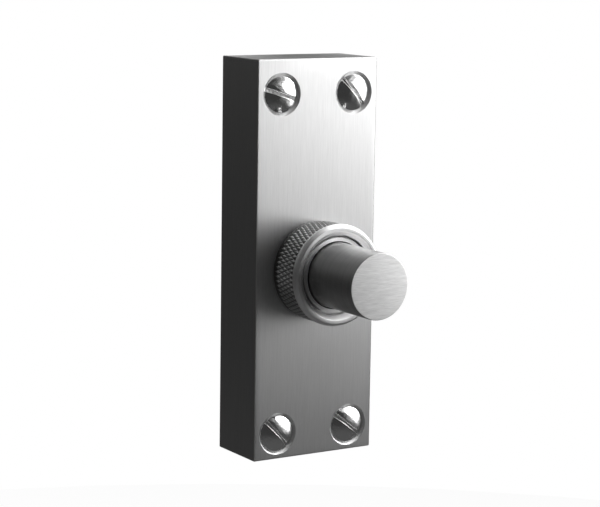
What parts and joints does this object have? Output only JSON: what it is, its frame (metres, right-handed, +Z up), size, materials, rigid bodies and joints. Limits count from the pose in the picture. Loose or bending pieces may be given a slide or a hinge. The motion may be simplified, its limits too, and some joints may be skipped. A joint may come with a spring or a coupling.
{
  "type": "doorbell push button",
  "caption": "Upright satin metal bell push with a long round button in a diamond-knurled collar, slotted wood screws and a two-contact switch in its back.",
  "frame": {"origin": "middle of the plate's back face, on the wall's surface", "axes": "+Z up the plate's long side, +Y into the wall, +X to the right seen from the front; the button points along -Y"},
  "size_m": [0.0264, 0.0411, 0.076],
  "materials": {
    "satin_plate": "satin, brushed up and down",
    "turned_metal": "bright turned",
    "satin_button": "satin, end brushed across",
    "polished_screw": "polished",
    "zinc_steel": "zinc plated",
    "spring_steel": "drawn wire",
    "contact_brass": "plain",
    "moulded_base": "moulded phenolic",
    "fibre": "red fibre"
  },
  "bodies": {
    "housing": {"plate": "satin_plate", "knurled_collar": "turned_metal", "barrel": "turned_metal", "lock_washer": "zinc_steel", "return_spring": "spring_steel", "contact_base": "moulded_base", "contact_stud_left": "contact_brass", "contact_stud_right": "contact_brass", "terminal_strip_left": "contact_brass", "terminal_strip_right": "contact_brass", "terminal_washer_left": "contact_brass", "terminal_washer_right": "contact_brass", "terminal_screw_left": "contact_brass", "terminal_screw_right": "contact_brass", "base_screw_upper": "zinc_steel", "base_screw_lower": "zinc_steel", "fixing_screw_top_left": "polished_screw", "fixing_screw_top_right": "polished_screw", "fixing_screw_bottom_left": "polished_screw", "fixing_screw_bottom_right": "polished_screw"},
    "button": {"push_button": "satin_button", "insulating_sleeve": "fibre", "contact_bridge": "contact_brass", "insulating_washer": "fibre", "retaining_clip": "spring_steel"}
  },
  "joints": [
    {"name": "button_press", "type": "slide", "parent": "housing", "child": "button", "axis": [0, 1, 0], "range_m": [0, 0.002], "stiffness_N_per_m": 900, "springref_m": -0.0015, "deforming": ["return_spring"]}
  ]
}
